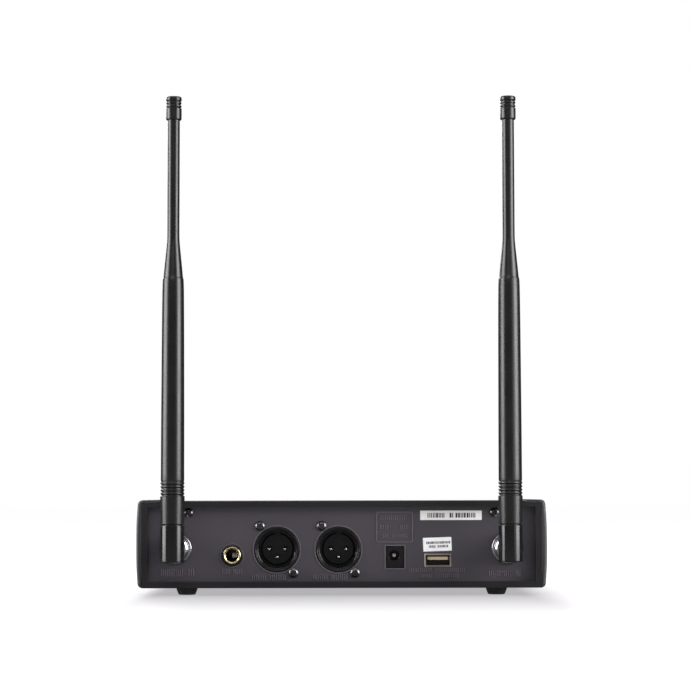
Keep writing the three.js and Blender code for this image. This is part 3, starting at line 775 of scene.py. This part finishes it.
def xlr_sockets():
    """Male XLR sockets: a stepped black mouth, a recessed insert, three pins and an earth leaf."""
    behind, ahead = PANEL_BACK - 6, PANEL_BACK + 2
    mouth = over(FACE, [(0, -21), (11.3, -21), (11.8, -20.4), (11.8, 0.45, 0.25), (11.1, 0.45, 0.2),
        (11.0, -0.5, 0.2), (10.35, -0.5, 0.2), (10.2, -1.1, 0.2), (9.75, -1.4, 0.3), (9.5, -13),
        (8.5, -13, 0.2), (8.3, -11.6, 0.4), (0, -11.6)])
    for n in (1, 2):
        c = xlr_centre(n)
        shell = turned(f"xlr_{n}_mouth", mouth, c, around=96)
        flange = slab("flange", about(c, 13, 15.2, 2), PANEL_BACK - 2.2, PANEL_BACK, 0.2)
        combined(flange, [bore(c, 11.2, behind, ahead)])
        combined(shell, [flange], "UNION")
        holes = [bore(centre(f"xlr_{n}_screw_{k}"), SCREW_HOLE, behind, ahead, around=24)
            for k in (1, 2)]
        holes += [bore(centre(f"xlr_{n}_pin_{k}"), 1.32, FACE - 30, FACE - 5, around=24)
            for k in (1, 2, 3)]
        keyway = rectangle(c.x - 1.5, c.x + 1.5, c.z + 7, c.z + 10.2, 0.3)
        combined(shell, holes + [hole(keyway, FACE - 12.9, FACE + 2)])
        put(shell, SOCKET, f"xlr_{n}_shell")
        for k in (1, 2, 3):
            node = f"xlr_{n}_pin_{k}"
            foot, tip = low(node).y, high(node).y
            pin = [(0, foot), (1.2, foot), (1.2, tip - 1.1, 0.8), (0.55, tip, 0.4), (0, tip)]
            put(turned(f"{node}_contact", pin, centre(node), steps=5, around=32), CHROME, node)
        leaf = block(f"xlr_{n}_earth_leaf", (c.x - 9.45, c.x - 9.05), (FACE - 7, FACE - 1.6),
            (c.z - 3.4, c.z - 1.6), 0.1)
        put(leaf, CHROME)


def phone_jack():
    """A brass bushing in a black collar, the housing behind them, and a contact spring."""
    c = centre("phone_jack_ring")
    inside, tip = low("phone_jack_bushing").y, high("phone_jack_bushing").y
    bushing = [(3.25, inside), (5, inside), (5, FACE, 0), (4.65, FACE + 0.1, 0), (4.65, tip - 0.3, 0.3),
        (4.3, tip, 0.25), (3.95, tip, 0.25), (3.25, tip - 0.6, 0.3)]
    put(turned("phone_jack_sleeve", bushing, c, 0.05, around=72), BRASS, "phone_jack_bushing")
    ring = over(FACE, [(4.75, 0.1), (5.7, 0.1), (5.7, 0.9, 0.35), (4.75, 1.1, 0.2)])
    put(turned("phone_jack_collar", ring, c, 0.05, around=72), SOCKET, "phone_jack_ring")
    a, b = low("phone_jack_body"), high("phone_jack_body")
    housing = block("phone_jack_housing", (a.x, b.x), (a.y, b.y), (a.z, b.z), 0.4)
    combined(housing, [bore(c, 3.25, a.y + 3, b.y + 2)])
    put(housing, SOCKET, "phone_jack_body")
    leaf = block("phone_jack_spring", (c.x - 2.7, c.x), (FACE - 4.6, FACE - 4),
        (c.z - 1.2, c.z + 1.4), 0.15)
    put(leaf, DULL)


def dc_socket():
    """A housing with a flared round mouth, and the hollow pin inside it."""
    a, b = low("dc_socket_body"), high("dc_socket_body")
    c = centre("dc_socket_pin")
    housing = block("dc_socket_housing", (a.x, b.x), (a.y, b.y), (b.z - DC_HEIGHT, b.z), 0.25)
    base = block("base", (a.x, b.x), (a.y, PANEL_BACK), (a.z, b.z - 5), 0.25)
    combined(housing, [base], "UNION")
    combined(housing, [bore(c, 2.75, b.y - 10.5, b.y + 1, b.y, 0.2),
        bore(c, 1.2, a.y - 2, b.y, around=24)])
    put(housing, SOCKET, "dc_socket_body")
    foot, tip = low("dc_socket_pin").y, high("dc_socket_pin").y
    pin = [(0, foot), (1.05, foot), (1.05, tip - 0.3, 0.3), (0.75, tip, 0.1), (0.5, tip, 0.1),
        (0.4, tip - 0.6), (0, tip - 0.6)]
    put(turned("dc_socket_contact", pin, c, 0.05, around=32), DULL, "dc_socket_pin")


def usb_socket():
    """The shell's flared mouth, its tongue on a black base, and four contacts under the tongue."""
    a, b, c = low("usb_shell"), high("usb_shell"), centre("usb_shell")
    front = b.y
    shell = prism("usb_mouth", within(a, b, 0, 0.5),
        [(front - 0.8, 0.25), (front - 0.65, 0), (front - 0.15, 0), (front, 0.15)])
    tube = prism("tube", about(c, 6.55, 2.85, 0.4), [(a.y, 0), (front - 0.5, 0)])
    combined(shell, [tube], "UNION")
    hollow = [(a.y - 1, 0), (front - 0.55, 0), (front + 0.2, -0.35)]
    combined(shell, [prism("cutter", about(c, 6.25, 2.55, 0.3), hollow)])
    put(shell, NICKEL, "usb_shell")
    back, tip = low("usb_tongue").y, high("usb_tongue").y
    tongue = block("usb_tongue_moulding", pair(c.x, 5.4), (back + 1, tip), (c.z + 0.2, c.z + 1.85), 0.15)
    put(tongue, TONGUE, "usb_tongue")
    base = block("usb_tongue_base", pair(c.x, 6.1), (back, back + 4.4), pair(c.z, 2.4), 0.1)
    seat = block("cutter", pair(c.x, 5.45), (back + 0.95, back + 9), (c.z + 0.15, c.z + 1.9), 0.01)
    put(combined(base, [seat]), SOCKET)
    for k, across in enumerate((-3.5, -1.0, 1.0, 3.5)):
        contact = block(f"usb_contact_{k + 1}", pair(c.x + across, 0.5), (tip - 7.5, tip - 0.8),
            (c.z + 0.02, c.z + 0.26), 0.05)
        put(contact, BRASS)


# ---- aerials

def knurled(teeth, depth, start, end):
    """A straight knurl between two heights: a ring's radius dips between the teeth."""
    def wave(radius, height, angle):
        inside = start <= height <= end and radius > 6.5
        return radius - depth * (0.5 - 0.5 * math.cos(teeth * angle)) if inside else radius
    return wave


def aerial_sockets():
    """Each aerial's bayonet socket with its two lugs, and the knurled nut that holds it."""
    body = over(FACE, [(0, -14), (6, -14), (6, 1.9, 0.2), (4.8, 1.9, 0.1), (4.8, 11, 0.3),
        (4.2, 11, 0.2), (4.2, 2.6), (0, 2.6)])
    nut = over(FACE, [(6.2, 0.1), (8.6, 0.1), (8.6, 1.1, 0.3), (8.15, 1.8, 0.3), (6.2, 1.8)])
    for letter in SIDES:
        node = f"aerial_socket_{letter}"
        c = centre(node)
        socket = turned(f"{node}_body", body, c, 0.05)
        lugs = turned("lugs", [(0, -5.4), (1, -5.4), (1, 5.4), (0, 5.4)], Vector(), 0.2, around=24)
        set_at(lugs, (c.x, FACE + 7.6, c.z), math.pi / 2, "Z")
        combined(socket, [lugs], "UNION")
        combined(socket, [bore(c, 4.2, FACE + 2.6, FACE + 20)])
        put(socket, CHROME, node)
        ring = turned(f"socket_nut_{letter}_ring", nut, c, steps=3, around=180,
            wave=knurled(36, 0.28, FACE + 0.05, FACE + 1.5))
        put(ring, NUT, f"socket_nut_{letter}")


def coupling_rings():
    """The bayonet's turning ring: a fine straight knurl between two plain bands."""
    for letter in SIDES:
        node = f"coupling_ring_{letter}"
        start, end = low(node).y, high(node).y
        profile = over(start, [(5.7, 0), (6.9, 0, 0.2), (7.2, 0.3), (7.2, 2), (6.75, 2.3), (6.75, 2.8),
            (7.2, 3.1)])
        profile += over(start + 3.1, [(7.2, step, 0) for step in (1, 2, 3, 4, 5)])
        profile += over(end, [(7.2, -2.6), (6.7, -2.3), (6.7, -1.8), (7.1, -1.5), (7.1, -0.6, 0.3),
            (6.5, 0, 0.3), (4.85, 0), (4.85, -2.9), (5.7, -2.9)])
        ring = turned(f"{node}_knurled", profile, centre(node), steps=3, around=192,
            wave=knurled(48, 0.3, start + 3.2, end - 2.7))
        put(ring, CHROME, node, f"bayonet_{letter}")


def elbow_piece(letter):
    """A sleeve with the short plug that reaches into the coupling ring."""
    node = f"aerial_elbow_{letter}"
    c = centre(f"aerial_whip_{letter}")
    bottom, seam = low(node).z, high(node).z
    radius = (high(node).x - low(node).x) / 2
    profile = [(0, bottom), (radius, bottom, 0.45), (radius, seam, 0.15), (0, seam)]
    sleeve = turned(f"{node}_sleeve", profile, c, axis="Z", around=80)
    plug = over(FACE, [(0, 3.2), (4, 3.2, 0.3), (4, 11.6), (4.6, 11.6, 0.1)])
    plug += [(4.6, c.y - radius + 1.5), (4.6, c.y), (0, c.y)]
    combined(sleeve, [turned("plug", plug, centre(f"aerial_socket_{letter}"), 0.05)], "UNION")
    put(sleeve, GLOSS, node, f"aerial_{letter}")
    return radius


def whip_piece(letter, radius):
    """A whip on a sleeve of this radius: four grip rings, a long taper and a thin rod."""
    node = f"aerial_whip_{letter}"
    start, end = low(node).z, high(node).z
    collar = start + 15.1
    grip = [(radius - 0.75, start, 0.1), (radius - 0.75, start + 0.5, 0.1), (radius - 0.2, start + 0.7),
        (6.33, collar, 0.15)]
    for k in range(4):
        grip += over(collar + 0.35 + k * 1.75,
            [(5.75, 0, 0.15), (5.75, 0.45, 0.15), (6.2, 0.75, 0.25), (6.2, 1.35, 0.25)])
    grip += over(collar, [(5.85, 7.5), (6.08, 8.3, 0.3)])
    taper = smooth_line(over(collar, [(6.05, 12), (5.95, 50), (5.62, 105.7), (5.0, 114.5), (4.1, 124),
        (3.4, 131), (3.15, 136), (3.15, 150)]), 6)
    profile = [(0, start)] + fillet(grip, 0.2, False, 3) + taper + [(3.15, end), (0, end)]
    rod = lathe(f"{node}_rod", profile, centre(node), axis="Z", around=72)
    put(rod, SATIN, node, f"aerial_{letter}")


def tip_piece(letter):
    """A cap with two grooved bands between its ends."""
    node = f"aerial_tip_{letter}"
    base, top = low(node).z, high(node).z
    cap = over(base, [(0, 0), (3.9, 0, 0.5), (4.1, 0.9, 0.4), (4.1, 6.1, 0.25)])
    for rise in (6.35, 8.1):
        cap += over(base + rise,
            [(3.55, 0, 0.15), (3.55, 0.3, 0.15), (4, 0.5), (4, 1.3), (3.55, 1.5, 0.15)])
    cap += over(base, [(3.55, 9.95, 0.15), (4.1, 10.2, 0.25)]) + [(4.1, top, 0.8), (0, top)]
    whip = centre(f"aerial_whip_{letter}")
    put(turned(f"{node}_cap", cap, whip, 0.2, axis="Z", around=72), SATIN, node, f"aerial_{letter}")


def aerials():
    """Each aerial: a glossy elbow, a satin whip and a grooved tip."""
    for letter in SIDES:
        whip_piece(letter, elbow_piece(letter))
        tip_piece(letter)


# ---- front

def power_outline(inset):
    """The power key's rounded outline, smaller by inset."""
    c = centre("power_button")
    half, rise = 8 - inset, 2.5 - inset
    right = arc(c.x + half - rise, c.z, rise, -90, 90, 12)
    return right + arc(c.x - half + rise, c.z, rise, 90, 270, 12)


def bezel_cutters():
    """The hollow behind, the window's seat and opening, the keys' and knobs' bores."""
    behind, ahead = FRONT + 2.5, FRONT - 2
    hollow = rectangle(-SHELL_HALF, SHELL_HALF, CASE_BOTTOM + WALL, CASE_TOP - WALL, 1)
    a, b = low("display_window"), high("display_window")
    seat = [(ahead, -0.35), (FRONT - 0.01, -0.35), (FRONT + 0.35, 0), (FRONT + 1.7, 0)]
    cutters = [hole(hollow, behind, BEZEL_REAR + 1), prism("cutter", within(a, b, -0.1, 2.1), seat),
        hole(within(a, b, 1.5, 1), FRONT, behind + 2)]
    dish = [(0, ahead), (10.2, ahead), (10.2, FRONT), (9.4, FRONT + 0.7, 0.4), (4, FRONT + 0.7, 0.2),
        (4, behind + 2, 0), (0, behind + 2)]
    for letter in SIDES:
        for way in ("up", "down"):
            key = centre(f"channel_button_{letter}_{way}")
            cutters.append(bore(key, 3.75, behind + 2, ahead, FRONT))
        cutters.append(turned("cutter", dish, centre(f"level_pot_{letter}"), around=96))
    sections = [(ahead, -0.3), (FRONT, -0.3), (FRONT + 0.3, 0), (behind + 2, 0)]
    return cutters + [prism("cutter", power_outline(-0.25), sections)]


def front_bezel():
    """The bezel, rounded over in front, and the smoked window let into it."""
    half = corner_arc(-90, 0) + side_contour()[:-1] + [(LAP_START, CASE_TOP)]
    edge = 1.4
    turn = [math.pi / 2 * k / 5 for k in range(5, -1, -1)]
    rounded = [(FRONT + edge * (1 - math.sin(a)), edge * (1 - math.cos(a))) for a in turn]
    bezel = prism("front_bezel_frame", mirrored(half), rounded + [(BEZEL_REAR - 0.2, 0), (BEZEL_REAR, 0.2)])
    put(combined(bezel, bezel_cutters()), SHELL, "front_bezel")
    a, b = low("display_window"), high("display_window")
    window = slab("display_window_pane", within(a, b, 0, 2), a.y, b.y, 0.15)
    put(window, GLASS, "display_window")


def displays():
    """Two unlit displays: a dark frame, a grey-green face, and the ghosts of its segments."""
    for letter in SIDES:
        node = f"display_{letter}"
        a, b, c = low(node), high(node), centre(node)
        module = block(f"{node}_module", (a.x, b.x), (a.y + 0.3, b.y), (a.z, b.z), 0.3)
        put(module, SOCKET, node)
        screen = about(c, 19.5, 8, 0.5)
        put(slab(f"{node}_face", screen, a.y + 0.12, a.y + 0.3, 0.05, 1), DISPLAY)
        segments(f"{node}_segments", c, a.y + 0.1)


def display_mask():
    """A black mask behind the window, open over the two displays."""
    a, b = low("display_window"), high("display_window")
    back = b.y + 0.1
    mask = slab("display_mask", within(a, b, 1.7, 0.8), back, back + 0.5, 0.05, 1)
    openings = [about(centre(f"display_{letter}"), 19, 7.6, 0.6) for letter in SIDES]
    combined(mask, [hole(opening, back - 1, back + 1) for opening in openings])
    put(mask, PRINT)


def segments(name, middle, y):
    """Three ghosted seven-segment figures, a level bar of eight blocks, and a row of four."""
    limits = []

    def block_at(x0, x1, z0, z1):
        limits.append((x0, x1, y, y + 0.04, z0, z1))

    width, height, stroke = 5.2, 9.4, 0.95
    x_start, bottom = middle.x - 13.5, middle.z - 5.2
    for k in range(3):
        left = x_start + k * 7.4
        for level in (0, height / 2 - stroke / 2, height - stroke):
            block_at(left + stroke + 0.15, left + width - stroke - 0.15, bottom + level,
                bottom + level + stroke)
        for x in (left, left + width - stroke):
            block_at(x, x + stroke, bottom + 0.3, bottom + height / 2 - 0.25)
            block_at(x, x + stroke, bottom + height / 2 + 0.25, bottom + height - 0.3)
    for k in range(8):
        z = bottom + k * 1.25
        block_at(middle.x + 10.5, middle.x + 15.5 - 0.35 * (7 - k), z, z + 0.8)
    for k in range(4):
        block_at(x_start + k * 2.2, middle.x - 12 + k * 2.2, middle.z + 5.4, middle.z + 6.4)
    put(boxes(name, limits), SEGMENT)


def channel_keys():
    """Round channel keys with dished caps, and a printed arrow on the bezel beside each."""
    for letter in SIDES:
        for way, up in (("up", 1), ("down", -1)):
            node = f"channel_button_{letter}_{way}"
            c, front, end = centre(node), low(node).y, high(node).y
            profile = over(front, [(0, 0.35, 0), (1.8, 0.22, 0.5), (3, 0, 0.3), (3.5, 0.4, 0.3)])
            profile += over(FLANGE_FRONT, [(3.5, 0), (4.4, 0), (4.4, 1), (1.6, 1)])
            profile += [(1.6, end), (0, end)]
            put(turned(f"{node}_cap", profile, c), CONTROL, node, f"key_{letter}_{way}")
            z = c.z + up * (3.5 + 2.6)
            arrow = [(c.x - 1.3, z - up * 0.8), (c.x + 1.3, z - up * 0.8), (c.x, z + up * 0.9)]
            sections = [(FRONT - 0.02, 0), (FRONT + 0.05, 0)]
            put(prism(f"{node}_arrow", arrow, sections), PALE_PRINT)


def power_key():
    """The power key on its flange and plunger, with a broken ring and a bar for its mark."""
    node = "power_button"
    c, front, end = centre(node), low(node).y, high(node).y
    cap = prism(f"{node}_cap", power_outline(0), [(front, 0.7), (front + 0.12, 0.35), (front + 0.35, 0.1),
        (front + 0.7, 0), (FLANGE_FRONT + 1, 0)])
    flange = prism("flange", power_outline(-0.9), [(FLANGE_FRONT, 0), (FLANGE_FRONT + 1, 0)])
    plunger = block("plunger", pair(c.x, 1.6), (FLANGE_FRONT, end), pair(c.z, 1.6), 0)
    combined(cap, [flange, plunger], "UNION")
    put(cap, CONTROL, node, "power_key")
    under, top = front - 0.02, front + 0.1
    ring = turned("ring", [(1.05, under), (1.35, under), (1.35, top), (1.05, top)], c, 0, 1, around=40)
    combined(ring, [hole(rectangle(*pair(c.x, 0.35), c.z + 0.5, c.z + 2), front - 1, front + 1)])
    bar = prism("bar", rectangle(*pair(c.x, 0.14), c.z + 0.35, c.z + 1.6), [(under, 0), (top, 0)])
    put(merged(f"{node}_symbol", [ring, bar]), PALE_PRINT, None, "power_key")


def knobs():
    """Fluted level knobs, each with an inlaid pointer and a printed arc of dots around it."""
    skirt = FRONT - 0.6
    flutes = 40
    for letter in SIDES:
        node, body = f"level_knob_{letter}", f"level_{letter}"
        c, front, end = centre(node), low(node).y, high(node).y

        def fluted(radius, height, angle, start=front + 1.6, stop=skirt - 2.2):
            dip = 0.28 * (0.5 - 0.5 * math.cos(flutes * angle))
            return radius - dip if start <= height <= stop and radius > 6 else radius

        profile = over(front, [(0, 0.45, 0), (4.5, 0.35, 1), (6.3, 0, 0.5), (7.2, 0.5, 0.6), (7.4, 1.5),
            (7.45, 1.7, 0), (7.55, 4, 0), (7.65, 6.5, 0)])
        profile += over(skirt, [(7.75, -2.3, 0), (7.85, -2), (8, -1.6, 0.2), (8, 0, 0.2), (3, 0)])
        profile += [(3, end), (0, end)]
        knob = turned(f"{node}_fluted", profile, c, around=200, wave=fluted)
        groove = rectangle(*pair(c.x, 0.5), c.z + 2.4, c.z + 9)
        combined(knob, [hole(groove, front - 1, front + 0.9)])
        put(knob, CONTROL, node, body)
        pointer = block(f"{node}_pointer", pair(c.x, 0.42), (front + 0.25, front + 0.88),
            (c.z + 2.5, c.z + 6.9), 0.08)
        put(pointer, PALE_PRINT, None, body)
        under, top = FRONT - 0.02, FRONT + 0.05
        dots = []
        for k in range(11):
            angle = math.radians(90 + 150 - 30 * k)
            spot = Vector((c.x + 11.8 * math.cos(angle), 0, c.z + 11.8 * math.sin(angle)))
            dots.append(lathe("dot", [(0, under), (0.4, under), (0.4, top), (0, top)], spot, around=16))
        put(merged(f"{node}_scale", dots), PALE_PRINT)


# ---- inside

def inner_materials():
    """The boards, cans and potentiometers keep their CAD shapes."""
    for node, material in (("main_board", BOARD), ("control_board", BOARD), ("tuner_can_a", TIN),
            ("tuner_can_b", TIN), ("level_pot_a", TIN), ("level_pot_b", TIN)):
        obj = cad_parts[node]
        obj.data.materials.clear()
        obj.data.materials.append(material)


# ---- studio

def area_light(name, place, target, width, height, power):
    data = bpy.data.lights.new(name, "AREA")
    data.shape = "RECTANGLE"
    data.size = width
    data.size_y = height
    data.energy = power
    light = added(name, data)
    light.location = place
    light.rotation_euler = (Vector(target) - Vector(place)).to_track_quat("-Z", "Y").to_euler()
    light.visible_camera = False
    return light


def studio_floor():
    """A pale floor that glows white, and dimmer around the unit's footprint: a painted soft shadow there.
    """
    nodes = Nodes("studio_floor")
    shader = nodes.shader
    shader.inputs["Base Color"].default_value = (0.13, 0.13, 0.13, 1)
    shader.inputs["Roughness"].default_value = 0.6
    shader.inputs["Emission Color"].default_value = (0.985, 0.965, 1, 1)
    outside = nodes.stretched(1, 0.1, 1)
    for operation, amount in (("ABSOLUTE", (0, 0, 0)), ("SUBTRACT", (0.098, 0.008, 0)),
            ("MAXIMUM", (0, 0, 0)), ("LENGTH", (0, 0, 0))):
        step = nodes.add("ShaderNodeVectorMath", operation=operation)
        step.inputs[1].default_value = amount
        nodes.join(outside, step.inputs[0])
        outside = step.outputs["Value" if operation == "LENGTH" else "Vector"]
    # Painted shadow: the glow is 0.46 at the footprint and rises to full a short way out.
    nodes.join(nodes.span(outside, 0.46, 1, 0, 0.026), shader.inputs["Emission Strength"])
    far = 9e3
    floor = make_mesh("studio_floor", [(-far, -far, 0), (far, -far, 0), (far, far, 0), (-far, far, 0)],
        [(0, 1, 2, 3)])
    floor.data.materials.append(nodes.material)
    floor.visible_glossy = False


def studio_world():
    """White to the camera, and a weak fill to everything else."""
    world = bpy.data.worlds.new("studio")
    scene.world = world
    world.use_nodes = True
    tree = world.node_tree
    backdrop = tree.nodes["Background"]
    fill = tree.nodes.new("ShaderNodeBackground")
    for shade, strength in ((backdrop, 1.0), (fill, 0.08)):
        shade.inputs["Color"].default_value = (1, 1, 1, 1)
        shade.inputs["Strength"].default_value = strength
    path = tree.nodes.new("ShaderNodeLightPath")
    mix = tree.nodes.new("ShaderNodeMixShader")
    tree.links.new(path.outputs["Is Camera Ray"], mix.inputs["Fac"])
    tree.links.new(fill.outputs[0], mix.inputs[1])
    tree.links.new(backdrop.outputs[0], mix.inputs[2])
    tree.links.new(mix.outputs[0], tree.nodes["World Output"].inputs["Surface"])


def studio():
    """Soft lights at both sides, overhead, before the panel and behind the unit; a small low one
    for the sleeves; and one flat on the floor that stands for its white reflection."""
    scene.view_settings.view_transform = "Standard"
    studio_floor()
    studio_world()
    aim = (0, 0.05, 0.2)
    area_light("softbox_left", (1.28, 0.26, 0.42), aim, 0.9, 0.9, 23)
    area_light("softbox_right", (-1.2, 0.52, 0.42), aim, 0.8, 0.9, 20)
    area_light("softbox_low", (-0.4, 0.36, 0.16), (-0.08, 0.07, 0.03), 0.3, 0.3, 0.5)
    area_light("floor_glow", (0, 0.56, 0.004), (0, 0.56, 1), 1.1, 0.7, 1.15)
    area_light("softbox_top", (0, 0.1, 1.8), (0, 0.05, 0), 2.4, 2.0, 14)
    area_light("softbox_front", (0.2, 1.9, 1.3), (0, 0, 0.05), 1.4, 0.8, 8)
    area_light("softbox_behind", (0.9, -1.7, 1.0), (0, -0.05, 0.05), 1.2, 0.9, 18)
    area_light("softbox_back", (0, -2.2, 0.8), (0, 0, 0), 3.2, 0.6, 40).visible_glossy = False


def camera():
    """The view square onto the socket panel, from the height of the lid, tilted slightly up."""
    data = bpy.data.cameras.new("camera")
    data.sensor_width = 36
    data.lens = 114.1
    data.clip_end = 50
    cam = added("camera", data)
    cam.location = (-0.00184, REAR_RIM * MM + 1.154, 0.0528)
    cam.rotation_euler = (math.radians(90 + 3.92), math.radians(0.1), math.radians(180))
    scene.camera = cam


case_shells()
end_cheeks()
rear_panel()
panel_mouldings()
labels()
foot_pieces()
screws()
xlr_sockets()
phone_jack()
dc_socket()
usb_socket()
aerial_sockets()
coupling_rings()
aerials()
front_bezel()
displays()
display_mask()
channel_keys()
power_key()
knobs()
inner_materials()
studio()
camera()
